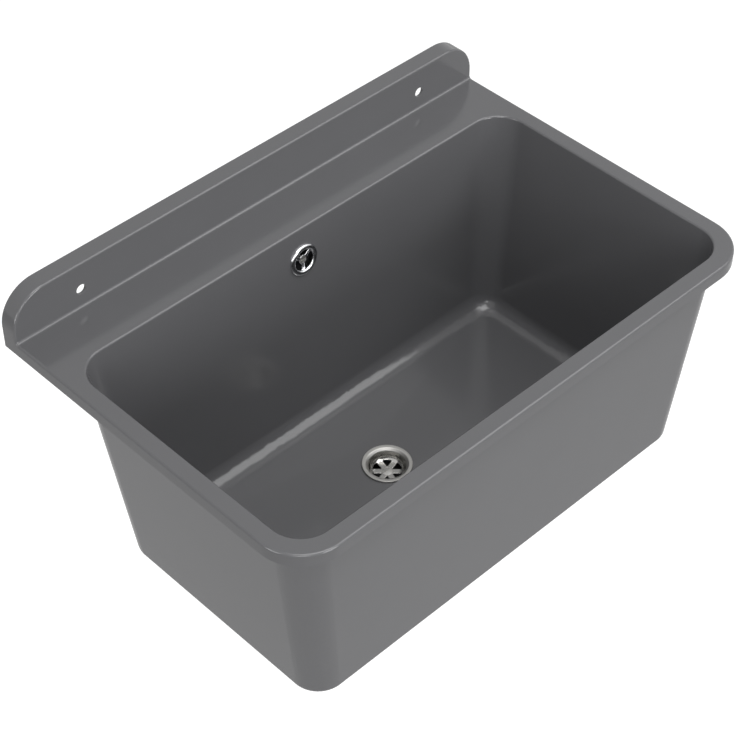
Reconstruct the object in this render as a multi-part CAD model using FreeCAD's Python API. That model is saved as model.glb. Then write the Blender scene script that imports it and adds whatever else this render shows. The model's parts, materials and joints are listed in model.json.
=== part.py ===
import FreeCAD, Part
import math
import os
from FreeCAD import Placement, Rotation, Vector

# Wall-hung mop sink, in millimetres.
# The wall is the plane y = 0 and the front of the sink is at -Y.
# The top of the rim is z = 0, and x = 0 is the middle of the sink.

# ---- rim, ledge and upstand ------------------------------------------------
rim_length = 600.0        # along the wall
projection = 400.0        # from the wall to the front edge
rim_front = 19.0          # rim width in front of the bowl
rim_side = 18.0           # rim width beside the bowl
ledge_depth = 58.5        # flat ledge between the bowl and the upstand
lip_height = 14.0         # turned-down lip round the rim
rim_corner_r = 48.0       # front corners of the rim, seen from above
upstand_height = 50.0     # above the rim
upstand_depth = 19.0      # front face of the upstand to the wall
upstand_corner_r = 39.0   # top corners of the upstand
wall = 4.0                # moulded wall
upstand_wall = 3.0        # front panel of the upstand
edge_r = 2.5              # rounding of the outer edges
junction_r = 3.0          # inside corner between ledge and upstand
over = 1.0                # how far a cutter runs past what it cuts
near = 1e-5               # when two places count as one

# ---- bowl ------------------------------------------------------------------
bowl_depth = 240.0        # rim to the floor at the waste
floor_wall = 5.0
floor_fall = 2.0          # fall of the floor towards the waste
side_draft = 6.94         # degrees, each side wall
front_draft = 3.34
back_draft = 4.65
bowl_corner_top = 33.0    # upright inside corners at the rim
bowl_corner_floor = 26.0  # and at the floor
floor_fillet = 20.0       # inside, between walls and floor
base_fillet = 7.0         # outside, round the base
bowl_edge_r = 2.5         # inner edge of the rim

# ---- ribs and wall fixing --------------------------------------------------
rib = 3.0                 # thickness of the stiffening ribs
rib_pitch = 63.0          # spacing of the ribs along the wall
rib_drop = 45.0           # ledge ribs reach this far down the bowl
bracket_ribs = 3          # the ribs this many pitches from the middle are the wall brackets
bracket_wall = 4.0        # thickness of a wall bracket
bracket_drop = 120.0      # brackets rest on the wall down to here
bracket_root = 165.0      # and join the bowl down to here
bracket_corner_r = 18.0
end_rib_inset = 35.0      # last ribs of the upstand, from its ends
fixing_spacing = 444.0    # between the two wall screws
fixing_height = 20.0      # above the rim
fixing_hole_r = 5.5

# ---- waste -----------------------------------------------------------------
waste_from_wall = 201.4   # centre of the waste
waste_hole_r = 21.5       # hole in the floor
waste_land = 74.0         # level square in the floor round the waste
sheet = 1.0               # strainer sheet
flange_r = 26.2           # outer edge of the strainer flange
flange_crown = 1.4        # height of the flange above its seal
flange_round = 2.2        # rounding of its outer edge
flange_lift = 0.1         # its turned-down edge, off the floor
throat_roll = 1.0         # rounding from the flange into the throat
throat_r = 19.5           # inside the strainer at the top
throat_taper = 0.9        # how much the throat narrows on the way down
cup_depth = 11.0          # flange top to strainer bottom
cup_corner_r = 4.0
sectors = 6
sector_outer_r = 16.0
sector_corner_r = 0.9
spoke_wide = 6.0
sector_turn = 45.8        # degrees from +X to the first opening
strainer_seal_t = 0.8
strainer_seal_r = 25.0
waste_gasket_t = 3.0
waste_gasket_r = 31.0
gasket_lip_gap = 0.1      # lip of the gasket inside the hole of the floor
ring_gap = 0.4            # rings stand this far off what they surround
body_flange_r = 33.0
body_flange_t = 4.0
flange_blend = 2.0        # slope under that flange
body_wall = 3.6
chamber_r = 22.2          # inside the waste body, round the strainer
chamber_depth = 33.0
cone_height = 8.0
tail_r = 20.955           # parallel pipe thread, one and a quarter inch
tail_bore_r = 17.2
tail_length = 28.0
tail_chamfer = 1.0
web_wall = 2.6            # cross web in the waste body
web_height = 16.0
web_turns = (45, 135)     # degrees from +X
boss_drop = 3.0           # foot of the boss below the top of the tail
boss_r = 7.4
strainer_screw_r = 3.0
strainer_screw_length = 40.0
strainer_head_r = 5.6
strainer_slot = 1.4
insert_flats = 10.0
insert_height = 5.0
insert_bottom = 6.0       # nut above the foot of its boss

# ---- overflow --------------------------------------------------------------
overflow_drop = 38.0      # centre below the rim
overflow_hole_r = 13.2
grille_r = 17.5
grille_sleeve_r = 12.9
grille_open_r = 11.8
grille_crown = 2.8        # ring stands this far off the wall
grille_edge = 0.6         # upright outer edge of the ring
grille_lip = 0.9          # and of its inner edge
grille_recess = 0.6       # front of the spokes behind the wall face
grille_spokes = 3
grille_spoke = 3.4
grille_spoke_t = 2.2
grille_hub_r = 4.8
overflow_gasket_t = 2.5
overflow_gasket_r = 21.5
elbow_flange_r = 23.0
elbow_flange_t = 3.0
elbow_r = 15.5
elbow_wall = 3.0
elbow_length = 36.0
elbow_chamfer = 2.0
outlet_offset = 19.5      # outlet axis behind the elbow flange
elbow_boss_r = 6.2
elbow_boss_front = 4.0    # boss in front of its nut
overflow_screw_r = 2.5
overflow_screw_length = 34.0
overflow_head_r = 4.2
overflow_slot = 1.1
overflow_nut_flats = 8.0
overflow_nut_height = 4.0
overflow_nut_inset = 6.0  # nut in front of the elbow's back face

# ---- hose and its unions ---------------------------------------------------
hose_cuff_r = 10.5        # smooth ends of the hose
hose_rib_r = 12.0
hose_valley_r = 10.2
hose_bore_r = 8.6
hose_cuff_length = 24.0
hose_pitch = 14.0
hose_shares = (0.15, 0.35, 0.65, 0.85)   # valley end, rib start, rib end, valley start
hose_bend_r = 50.0
branch_drop = 21.5        # hose axis below the underside of the bowl
branch_reach = 46.0       # mouth of the branch from the waste axis
port_r = 14.0             # male thread of each hose union
port_neck_r = 12.4
port_length = 16.0
port_socket = 14.0        # depth of the socket for the hose cuff
cuff_gap = 0.3            # socket round the cuff
cone_depth = 2.0          # seat of the cone seal in the mouth
seal_length = 4.8
seal_stand = 0.2          # nose of the seal off the foot of its seat
seal_rim = 0.1            # its shoulder inside the mouth
outlet_reach = 36.0       # mouth of the elbow outlet from the elbow axis
union_r = 17.5
union_length = 17.0
union_end = 3.0
union_chamfer = 1.5
union_flutes = 8
flute_r = 2.4
flute_depth = 0.9
thread_gap = 0.15
head_rim = 0.4            # straight edge of a screw head
head_crown = 1.1          # its raised top
slot_depth = 1.4
screw_point = 0.6
sink_slope = 0.8          # rise of the countersink over its run
sink_gap = 0.1
screw_gap = 0.3
nut_gap = 0.15
bore_gap = 0.05


def slope(degrees):
    return math.tan(math.radians(degrees))


def bowl_rect(z, grow=0.0):
    """Half length, front y and back y of the bowl at height z, moved outwards by grow."""
    depth = -z
    half = rim_length / 2 - rim_side - depth * slope(side_draft) + grow
    front = -projection + rim_front + depth * slope(front_draft) - grow
    back = -upstand_depth - ledge_depth - depth * slope(back_draft) + grow
    return half, front, back


def rounded_rect(x0, x1, y0, y1, radii, z):
    """Closed wire; radii are for the corners front left, front right, back right, back left."""
    corners = [(x0, y0), (x1, y0), (x1, y1), (x0, y1)]
    ways = [(1, 1), (-1, 1), (-1, -1), (1, -1)]
    edges = []
    last = None
    first = None
    for i, ((cx, cy), (sx, sy), r) in enumerate(zip(corners, ways, radii)):
        along_x = Vector(cx + sx * r, cy, z)
        along_y = Vector(cx, cy + sy * r, z)
        start, end = (along_y, along_x) if i % 2 == 0 else (along_x, along_y)
        if last is not None:
            edges.append(Part.LineSegment(last, start).toShape())
        else:
            first = start
        if r > 0:
            k = r * (1 - math.sqrt(0.5))
            middle = Vector(cx + sx * k, cy + sy * k, z)
            edges.append(Part.Arc(start, middle, end).toShape())
        last = end
    edges.append(Part.LineSegment(last, first).toShape())
    return Part.Wire(edges)


def flat_sided(solid):
    """The same solid with each of its flat sides made a true plane."""
    sides = Part.Compound([Part.Face(f.OuterWire) if f.findPlane(near) else f for f in solid.Faces])
    sides.sewShape()
    return Part.Solid(sides.Shells[0])


def bowl_form(z_top, z_bottom, grow, corner_grow, bottom_fillet):
    """Tapered bowl between two heights, with its bottom edge rounded."""
    wires = []
    for z in (z_top, z_bottom):
        half, front, back = bowl_rect(z, grow)
        share = -z / bowl_depth
        r = bowl_corner_top + (bowl_corner_floor - bowl_corner_top) * share + corner_grow
        wires.append(rounded_rect(-half, half, front, back, [r] * 4, z))
    form = flat_sided(Part.makeLoft(wires, True, True))
    bottom = [e for e in form.Edges if abs(e.BoundBox.ZMax - z_bottom) < near]
    return form.makeFillet(bottom_fillet, bottom)


def quarter(a, b, corner, steps=2):
    """Corners of a quarter round from a to b, cut into flats; corner is the sharp corner it replaces."""
    middle = (a[0] + b[0] - corner[0], a[1] + b[1] - corner[1])
    ring = []
    for n in range(steps + 1):
        t = math.pi / 2 * n / steps
        ring.append(tuple(m + (p - m) * math.cos(t) + (q - m) * math.sin(t)
                          for m, p, q in zip(middle, a, b)))
    return ring


def plate_yz(points, x_middle, thick):
    """Flat plate across X from a list of (y, z) corners."""
    ring = [Vector(x_middle - thick / 2, y, z) for y, z in points]
    face = Part.Face(Part.makePolygon(ring + ring[:1]))
    return face.extrude(Vector(thick, 0, 0))


def turned(points):
    """Solid of revolution about Z from (r, z) corners."""
    ring = [Vector(r, 0, z) for r, z in points]
    return Part.Face(Part.makePolygon(ring + ring[:1])).revolve(Vector(), Vector(0, 0, 1), 360)


def hexagon(flats, z0, height):
    r = flats / math.sqrt(3)
    ring = [Vector(r * math.cos(math.radians(a)), r * math.sin(math.radians(a)), z0)
            for a in range(0, 361, 60)]
    return Part.Face(Part.makePolygon(ring)).extrude(Vector(0, 0, height))


def cylinder(r, z0, height, centre=Vector(), way=Vector(0, 0, 1)):
    return Part.makeCylinder(r, height, centre + way * z0, way)


def placed(shape, placement):
    copy = shape.copy()
    copy.Placement = placement.multiply(copy.Placement)
    return copy


# ---- the moulding ----------------------------------------------------------
def upstand_form(half, y, low, top, r, thick):
    """Upright slab from the plane y towards the wall, with its two top corners rounded."""
    k = r * (1 - math.sqrt(0.5))
    points = [Vector(-half, y, low), Vector(-half, y, top - r), Vector(-half + r, y, top),
              Vector(half - r, y, top), Vector(half, y, top - r), Vector(half, y, low)]
    outline = Part.Wire([
        Part.LineSegment(points[0], points[1]).toShape(),
        Part.Arc(points[1], Vector(-half + k, y, top - k), points[2]).toShape(),
        Part.LineSegment(points[2], points[3]).toShape(),
        Part.Arc(points[3], Vector(half - k, y, top - k), points[4]).toShape(),
        Part.LineSegment(points[4], points[5]).toShape(),
        Part.LineSegment(points[5], points[0]).toShape(),
    ])
    return Part.Face(outline).extrude(Vector(0, thick, 0))


def rim_and_upstand():
    """Rim slab with its lip and the solid upstand, all outer edges rounded."""
    half = rim_length / 2
    outline = rounded_rect(-half, half, -projection, 0, [rim_corner_r, rim_corner_r, 0, 0], 0)
    slab = Part.Face(outline).extrude(Vector(0, 0, -lip_height))
    y = -upstand_depth
    upstand = upstand_form(half, y, -lip_height, upstand_height, upstand_corner_r, upstand_depth)
    body = slab.fuse(upstand).removeSplitter()

    def on_junction(e):
        box = e.BoundBox
        return abs(box.YMin - y) + abs(box.YMax - y) + abs(box.ZMin) + abs(box.ZMax) < near

    body = body.makeFillet(junction_r, [e for e in body.Edges if on_junction(e)])

    def on_outline(e):
        box = e.BoundBox
        middle = e.valueAt((e.FirstParameter + e.LastParameter) / 2)
        rim_edge = abs(box.ZMin) + abs(box.ZMax) < near and middle.y < y
        at_rim = abs(abs(middle.x) - half) < near or middle.y < y - ledge_depth
        at_front = abs(box.YMin - y) + abs(box.YMax - y) < near and box.ZMax > junction_r + near
        return (rim_edge and at_rim) or at_front

    return body.makeFillet(edge_r, [e for e in body.Edges if on_outline(e)])


def rib_places():
    """x of the ribs under the ledge, without the brackets."""
    return [s * n * rib_pitch for n in range(1, bracket_ribs) for s in (-1, 1)]


def tub():
    half = rim_length / 2
    shell = rim_and_upstand()
    pocket_r = rim_corner_r - wall
    under_lip = -lip_height - over
    pocket = rounded_rect(-half + wall, half - wall, -projection + wall, -upstand_depth,
                          [pocket_r, pocket_r, 0, 0], under_lip)
    pocket = Part.Face(pocket).extrude(Vector(0, 0, -wall - under_lip))
    panel_back = -upstand_depth + upstand_wall
    hollow = upstand_form(half - wall, panel_back, under_lip, upstand_height - wall,
                          upstand_corner_r - wall, over - panel_back)
    shell = shell.cut([pocket, hollow])

    underside = -bowl_depth - floor_wall
    sunk = wall / 2
    parts = [bowl_form(-sunk, underside, wall, wall, base_fillet)]

    def wall_y(z):
        return bowl_rect(z, wall)[2] - sunk

    panel = -upstand_depth + upstand_wall / 2
    for x in rib_places():
        parts.append(plate_yz([(wall_y(-sunk), -sunk), (panel, -sunk), (panel, -lip_height),
                               (wall_y(-rib_drop), -rib_drop)], x, rib))
    last = half - end_rib_inset
    for x in rib_places() + [0, -last, last]:
        parts.append(plate_yz([(panel, -lip_height), (0, -lip_height), (0, upstand_height - sunk),
                               (panel, upstand_height - sunk)], x, rib))
    r = bracket_corner_r
    heel = quarter((0, -bracket_drop + r), (-r, -bracket_drop), (0, -bracket_drop), 3)
    for side in (-1, 1):
        parts.append(plate_yz([(0, upstand_height - sunk)] + heel
                              + [(wall_y(-bracket_root), -bracket_root), (wall_y(-sunk), -sunk),
                                 (panel, -sunk), (panel, upstand_height - sunk)],
                              side * bracket_ribs * rib_pitch, bracket_wall))
    shell = shell.fuse(parts)

    floor_edge = -bowl_depth + floor_fall
    inner = bowl_form(over, floor_edge, 0, 0, floor_fillet)
    half_floor, front, back = bowl_rect(floor_edge)
    f = floor_fillet
    land = waste_land / 2
    high = rounded_rect(-half_floor + f, half_floor - f, front + f, back - f, [f] * 4, floor_edge)
    low = rounded_rect(-land, land, -waste_from_wall - land, -waste_from_wall + land, [f] * 4, -bowl_depth)
    inner = inner.fuse(flat_sided(Part.makeLoft([high, low], True, True)))
    shell = shell.cut(inner)

    waste = Vector(0, -waste_from_wall, 0)
    holes = [cylinder(waste_hole_r, underside - over, floor_wall + 2 * over, waste),
             placed(cylinder(overflow_hole_r, -over, wall + 2 * over), overflow_place)]
    for side in (-1, 1):
        centre = Vector(side * fixing_spacing / 2, -upstand_depth - over, fixing_height)
        holes.append(cylinder(fixing_hole_r, 0, upstand_wall + 2 * over, centre, Vector(0, 1, 0)))
    shell = shell.cut(holes).removeSplitter()

    def on_bowl_edge(e):
        box = e.BoundBox
        inside = box.XMin > -half + rim_side - over and box.XMax < half - rim_side + over
        ahead = box.YMin > -projection + rim_front - over and box.YMax < -upstand_depth - ledge_depth + over
        return abs(box.ZMin) + abs(box.ZMax) < near and inside and ahead

    return shell.makeFillet(bowl_edge_r, [e for e in shell.Edges if on_bowl_edge(e)])


# ---- places of the fittings ------------------------------------------------
overflow_back = bowl_rect(-overflow_drop)[2]
overflow_place = Placement(Vector(0, overflow_back, -overflow_drop),
                           Rotation(Vector(1, 0, 0), -(90 + back_draft)))
waste_place = Placement(Vector(0, -waste_from_wall, -bowl_depth), Rotation())

# Heights of the waste, from the floor
flange_under = strainer_seal_t
flange_top = flange_under + flange_crown
cup_bottom = flange_top - cup_depth
gasket_top = -floor_wall
body_top = gasket_top - waste_gasket_t
chamber_end = body_top - chamber_depth
tail_top = chamber_end - cone_height
tail_end = tail_top - tail_length
branch_z = gasket_top - branch_drop
boss_end = tail_top - boss_drop
boss_top = boss_end + web_height + insert_bottom
nut_bottom = boss_end + insert_bottom

# Depths of the overflow, from the inside of the wall
wall_through = wall * math.cos(math.radians(back_draft))
elbow_front = wall_through + overflow_gasket_t
elbow_back = elbow_front + elbow_length
outlet_z = elbow_front + outlet_offset
overflow_nut_front = elbow_back - overflow_nut_inset - overflow_nut_height


def strainer_cup():
    t = sheet
    r0 = throat_r
    r1 = throat_r - throat_taper
    top, under, bottom = flange_top, flange_under, cup_bottom
    c = cup_corner_r
    head = strainer_head_r + sink_gap
    hole = strainer_screw_r + screw_gap
    dip = bottom - (head - hole) * sink_slope
    cup = turned(
        [(head, bottom)]
        + quarter((r1 - c, bottom), (r1, bottom + c), (r1, bottom))
        + quarter((r0, top - throat_roll), (r0 + throat_roll, top), (r0, top))
        + quarter((flange_r - flange_round, top), (flange_r, under), (flange_r, top))
        + [(flange_r, flange_lift), (flange_r - t, flange_lift), (flange_r - t, under), (r0 + t, under)]
        + quarter((r1 + t, bottom + c), (r1 - c, bottom - t), (r1 + t, bottom - t))
        + [(head, bottom - t), (hole, dip - t), (hole, dip)])
    opening = sector_opening()
    turns = [sector_turn + n * 360.0 / sectors for n in range(sectors)]
    cutters = [placed(opening, Placement(Vector(), Rotation(Vector(0, 0, 1), turn))) for turn in turns]
    return placed(cup.cut(cutters), waste_place)


def sector_opening():
    """One three-sided opening between two parallel-sided spokes, with its corners rounded."""
    half = math.radians(180.0 / sectors)
    shift = spoke_wide / 2 / math.sin(half)
    reach = sector_outer_r * 2
    height = sheet + 2 * over
    side = [Vector(shift + reach * math.cos(a), reach * math.sin(a), 0) for a in (-half, half)]
    wedge = Part.Face(Part.makePolygon([Vector(shift, 0, 0)] + side + [Vector(shift, 0, 0)]))
    wedge = wedge.extrude(Vector(0, 0, height))
    opening = wedge.common(cylinder(sector_outer_r, 0, height))
    opening = opening.makeFillet(sector_corner_r, [e for e in opening.Edges if e.BoundBox.ZLength > sheet])
    opening.translate(Vector(0, 0, cup_bottom - sheet - over))
    return opening


def screw(head_r, shank_r, length, head_z, slot_wide):
    """Raised countersunk screw, pointing down, with a straight slot; head_z is its flat edge."""
    sink = head_rim + (head_r - shank_r) * sink_slope
    top = head_z + head_crown
    end = head_z - length
    body = turned(quarter((0, top), (head_r, head_z), (head_r, top))
                  + [(head_r, head_z - head_rim), (shank_r, head_z - sink), (shank_r, end + screw_point),
                     (shank_r - screw_point, end), (0, end)])
    slot = Part.makeBox(2 * (head_r + over), slot_wide, slot_depth + over,
                        Vector(-head_r - over, -slot_wide / 2, top - slot_depth))
    return body.cut(slot)


def strainer_screw():
    head_z = cup_bottom + head_rim
    part = screw(strainer_head_r, strainer_screw_r, strainer_screw_length, head_z, strainer_slot)
    return placed(part, waste_place)


def ring(inner, outer, z0, height):
    return turned([(inner, z0), (outer, z0), (outer, z0 + height), (inner, z0 + height)])


def strainer_seal():
    return placed(ring(waste_hole_r - ring_gap, strainer_seal_r, 0, strainer_seal_t), waste_place)


def waste_gasket():
    """Profiled ring with a raised lip that centres it in the hole."""
    inner = throat_r + sheet + ring_gap
    lip_r = waste_hole_r - gasket_lip_gap
    lip_top = gasket_top + floor_wall / 2
    points = [(inner, body_top), (waste_gasket_r, body_top), (waste_gasket_r, gasket_top),
              (lip_r, gasket_top), (lip_r, lip_top), (inner, lip_top)]
    return placed(turned(points), waste_place)


def port_socket_cut():
    """Inside of a hose port along +Z, its mouth at z = 0: socket, shoulder and cone seat."""
    r = hose_cuff_r + cuff_gap
    wide = r + cone_depth + over
    return turned([(0, over), (wide, over), (r, -cone_depth), (r, -port_socket), (0, -port_socket)])


def hose_port(way, reach):
    """Neck and threaded collar of a port that ends at the length reach, and what is cut out of it."""
    neck = cylinder(port_neck_r, 0, reach - port_length)
    collar = cylinder(port_r, reach - port_length, port_length)
    mouth = port_socket_cut()
    mouth.translate(Vector(0, 0, reach))
    bore = cylinder(hose_bore_r, 0, reach)
    return [placed(neck, way), placed(collar, way)], [placed(bore, way), placed(mouth, way)]


def waste_body():
    outer = chamber_r + body_wall
    flange_end = body_top - body_flange_t
    body = turned([
        (0, body_top), (body_flange_r, body_top), (body_flange_r, flange_end),
        (outer, flange_end - flange_blend), (outer, chamber_end), (tail_r, tail_top),
        (tail_r, tail_end + tail_chamfer), (tail_r - tail_chamfer, tail_end), (0, tail_end),
    ])
    branch = Placement(Vector(0, 0, branch_z), Rotation(Vector(1, 0, 0), -90))
    port, port_cuts = hose_port(branch, branch_reach)
    inside = turned([
        (0, body_top + over), (chamber_r, body_top + over), (chamber_r, chamber_end),
        (tail_bore_r, tail_top), (tail_bore_r, tail_end - over), (0, tail_end - over),
    ])
    body = body.fuse(port).cut([inside] + port_cuts)
    # The arms of the web run half a wall into the body
    reach = chamber_r + body_wall / 2
    low_reach = tail_bore_r + body_wall / 2
    web = cylinder(boss_r, boss_end, boss_top - boss_end)
    envelope = turned([(0, boss_top), (reach, boss_top), (reach, chamber_end), (low_reach, tail_top),
                       (low_reach, boss_end), (0, boss_end)])
    arms = []
    for turn in web_turns:
        arm = Part.makeBox(2 * reach, web_wall, web_height, Vector(-reach, -web_wall / 2, boss_end))
        arm = placed(arm, Placement(Vector(), Rotation(Vector(0, 0, 1), turn)))
        arms.append(arm.common(envelope))
    body = body.fuse(web.fuse(arms))
    screw_way = cylinder(strainer_screw_r + screw_gap, boss_end - over, boss_top - boss_end + 2 * over)
    nut_way = hexagon(insert_flats + 2 * nut_gap, boss_end - over, insert_bottom + insert_height + over)
    return placed(body.cut([screw_way, nut_way]).removeSplitter(), waste_place)


def hex_nut(flats, z0, height, bore):
    return hexagon(flats, z0, height).cut(cylinder(bore, z0 - over, height + 2 * over))


def waste_insert_nut():
    nut = hex_nut(insert_flats, nut_bottom, insert_height, strainer_screw_r + bore_gap)
    return placed(nut, waste_place)


def overflow_grille():
    """Domed ring with a sleeve through the wall and spokes set back to a hub; z grows into the wall."""
    crown = -grille_crown
    middle = (grille_r + grille_open_r) / 2
    grille = turned(
        [(grille_r, 0)]
        + quarter((grille_r, -grille_edge), (middle, crown), (grille_r, crown))
        + quarter((middle, crown), (grille_open_r, -grille_lip), (grille_open_r, crown))[1:]
        + [(grille_open_r, wall_through), (grille_sleeve_r, wall_through), (grille_sleeve_r, 0)])
    spokes = [cylinder(grille_hub_r, grille_recess, grille_spoke_t)]
    reach = (grille_open_r + grille_sleeve_r) / 2
    for n in range(grille_spokes):
        side = Vector(0, -grille_spoke / 2, grille_recess)
        spoke = Part.makeBox(reach, grille_spoke, grille_spoke_t, side)
        turn = 90 + n * 360.0 / grille_spokes
        spokes.append(placed(spoke, Placement(Vector(), Rotation(Vector(0, 0, 1), turn))))
    grille = grille.fuse(spokes)
    sink_r = overflow_head_r + sink_gap
    hole_r = overflow_screw_r + screw_gap
    rim = grille_recess + head_rim
    back = grille_recess + grille_spoke_t + over
    sink = turned([(0, grille_recess - over), (sink_r, grille_recess - over), (sink_r, rim),
                   (hole_r, rim + (sink_r - hole_r) * sink_slope), (hole_r, back), (0, back)])
    return placed(grille.cut(sink).removeSplitter(), overflow_place)


def overflow_screw():
    part = screw(overflow_head_r, overflow_screw_r, overflow_screw_length, 0, overflow_slot)
    turn = Placement(Vector(0, 0, grille_recess), Rotation(Vector(1, 0, 0), 180))
    return placed(placed(part, turn), overflow_place)


def overflow_gasket():
    inner = overflow_hole_r + ring_gap
    return placed(ring(inner, overflow_gasket_r, wall_through, overflow_gasket_t), overflow_place)


def overflow_elbow():
    flange_back = elbow_front + elbow_flange_t
    body = turned([
        (0, elbow_front), (elbow_flange_r, elbow_front), (elbow_flange_r, flange_back),
        (elbow_r, flange_back), (elbow_r, elbow_back - elbow_chamfer),
        (elbow_r - elbow_chamfer, elbow_back), (0, elbow_back),
    ])
    outlet = Placement(Vector(0, 0, outlet_z), Rotation(Vector(1, 0, 0), -90))
    port, port_cuts = hose_port(outlet, outlet_reach)
    inside = cylinder(elbow_r - elbow_wall, elbow_front - over, elbow_length + over - elbow_wall)
    body = body.fuse(port).cut([inside] + port_cuts)
    boss_front = overflow_nut_front - elbow_boss_front
    body = body.fuse(cylinder(elbow_boss_r, boss_front, elbow_back - elbow_wall / 2 - boss_front))
    screw_way = cylinder(overflow_screw_r + screw_gap, boss_front - over, elbow_boss_front + 2 * over)
    way_length = elbow_back - overflow_nut_front + over
    nut_way = hexagon(overflow_nut_flats + 2 * nut_gap, overflow_nut_front, way_length)
    return placed(body.cut([screw_way, nut_way]).removeSplitter(), overflow_place)


def overflow_insert_nut():
    nut = hex_nut(overflow_nut_flats, overflow_nut_front, overflow_nut_height, overflow_screw_r + bore_gap)
    return placed(nut, overflow_place)


# ---- hose and unions -------------------------------------------------------
# A union is drawn along +Z with the mouth of its port at z = 0.
upper_union = overflow_place.multiply(
    Placement(Vector(0, outlet_reach, outlet_z), Rotation(Vector(1, 0, 0), -90)))
lower_union = waste_place.multiply(
    Placement(Vector(0, branch_reach, branch_z), Rotation(Vector(1, 0, 0), -90)))
seal_start = seal_stand - cone_depth
seal_end = seal_start + seal_length


def union_nut(place):
    start = seal_end + union_end - union_length
    end = start + union_length
    inner = port_r + thread_gap
    hole = hose_cuff_r + cuff_gap
    nut = turned([
        (inner, start), (union_r, start), (union_r, end - union_chamfer), (union_r - union_chamfer, end),
        (hole, end), (hole, seal_end), (inner, seal_end),
    ])
    cutters = []
    for n in range(union_flutes):
        a = math.radians(n * 360.0 / union_flutes)
        middle = Vector(math.cos(a), math.sin(a), 0) * (union_r + flute_r - flute_depth)
        cutters.append(cylinder(flute_r, start - over, union_length + 2 * over, middle))
    return placed(nut.cut(cutters), place)


def cone_seal(place):
    inner = hose_cuff_r + bore_gap
    edge = hose_cuff_r + cuff_gap
    outer = edge + cone_depth - seal_rim
    return placed(turned([(inner, seal_start), (edge + seal_stand, seal_start), (outer, -seal_rim),
                          (outer, seal_end), (inner, seal_end)]), place)


def hose_route():
    """Corner points of the hose: down behind the bowl, then a round bend forward to the waste."""
    into = -port_socket + cuff_gap
    start = upper_union.multVec(Vector(0, 0, into))
    end = lower_union.multVec(Vector(0, 0, into))
    down = upper_union.Rotation.multVec(Vector(0, 0, 1))
    corner = start + down * ((end.z - start.z) / down.z)
    back = (start - corner).normalize()
    ahead = (end - corner).normalize()
    tangent = hose_bend_r / math.tan(back.getAngle(ahead) / 2)
    leave = corner + back * tangent
    arrive = corner + ahead * tangent
    middle_way = (back + ahead).normalize()
    centre = corner + middle_way * (hose_bend_r / math.sin(back.getAngle(ahead) / 2))
    return start, leave, centre, arrive, end


def hose_station(s, route):
    """Point and direction at the length s along the hose."""
    start, leave, centre, arrive, end = route
    first = leave.sub(start).Length
    way0 = leave.sub(start).normalize()
    way1 = end.sub(arrive).normalize()
    turn = way0.getAngle(way1)
    bend = hose_bend_r * turn
    if s <= first:
        return start + way0 * s, way0
    if s >= first + bend:
        return arrive + way1 * (s - first - bend), way1
    spin = Rotation(way0.cross(way1), math.degrees((s - first) / hose_bend_r))
    return centre + spin.multVec(leave.sub(centre)), spin.multVec(way0)


def hose_length(route):
    start, leave, centre, arrive, end = route
    way0 = leave.sub(start)
    way1 = end.sub(arrive)
    return way0.Length + way1.Length + hose_bend_r * way0.getAngle(way1)


def hose_circle(s, r, route):
    """Circle across the hose whose own X axis stays along the sink."""
    point, way = hose_station(s, route)
    side = Vector(1, 0, 0)
    place = Placement(point, Rotation(side, way.cross(side), way, "ZXY"))
    circle = Part.Wire(Part.makeCircle(r))
    circle.Placement = place
    return circle


def overflow_hose():
    route = hose_route()
    total = hose_length(route)
    ribbed = total - 2 * hose_cuff_length
    ribs = int(ribbed / hose_pitch)
    pitch = ribbed / ribs
    radii = (hose_valley_r, hose_rib_r, hose_rib_r, hose_valley_r)
    stations = [(0, hose_cuff_r), (hose_cuff_length, hose_cuff_r)]
    for n in range(ribs):
        s = hose_cuff_length + n * pitch
        stations += [(s + share * pitch, r) for share, r in zip(hose_shares, radii)]
    stations += [(total - hose_cuff_length, hose_cuff_r), (total, hose_cuff_r)]
    skin = Part.makeLoft([hose_circle(s, r, route) for s, r in stations], True, True)
    start, leave, centre, arrive, end = route
    way0 = leave.sub(start).normalize()
    way1 = end.sub(arrive).normalize()
    bore = Part.makeCylinder(hose_bore_r, leave.sub(start).Length + over, start - way0 * over, way0)
    face = Part.Face(hose_circle(leave.sub(start).Length, hose_bore_r, route))
    bend = face.revolve(centre, way0.cross(way1), math.degrees(way0.getAngle(way1)))
    last = Part.makeCylinder(hose_bore_r, end.sub(arrive).Length + over, arrive, way1)
    print("hose", round(total, 1), "mm,", ribs, "ribs")
    return skin.cut([bore, bend, last])


nodes = {
    "tub": tub,
    "strainer_cup": strainer_cup,
    "strainer_screw": strainer_screw,
    "strainer_seal": strainer_seal,
    "waste_gasket": waste_gasket,
    "waste_body": waste_body,
    "waste_insert_nut": waste_insert_nut,
    "overflow_grille": overflow_grille,
    "overflow_screw": overflow_screw,
    "overflow_gasket": overflow_gasket,
    "overflow_elbow": overflow_elbow,
    "overflow_insert_nut": overflow_insert_nut,
    "overflow_hose": overflow_hose,
    "upper_hose_nut": lambda: union_nut(upper_union),
    "lower_hose_nut": lambda: union_nut(lower_union),
    "upper_hose_seal": lambda: cone_seal(upper_union),
    "lower_hose_seal": lambda: cone_seal(lower_union),
}

os.makedirs("parts", exist_ok=True)
for name, make in nodes.items():
    shape = make()
    print(name, shape.ShapeType, "solids", len(shape.Solids), "valid", shape.isValid(),
          "volume", round(shape.Volume / 1000, 2), "cm3")
    shape.exportStep("parts/" + name + ".step")
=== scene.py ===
import json
import math

import bmesh
import bpy
import numpy as np
from mathutils import Matrix, Vector

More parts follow.
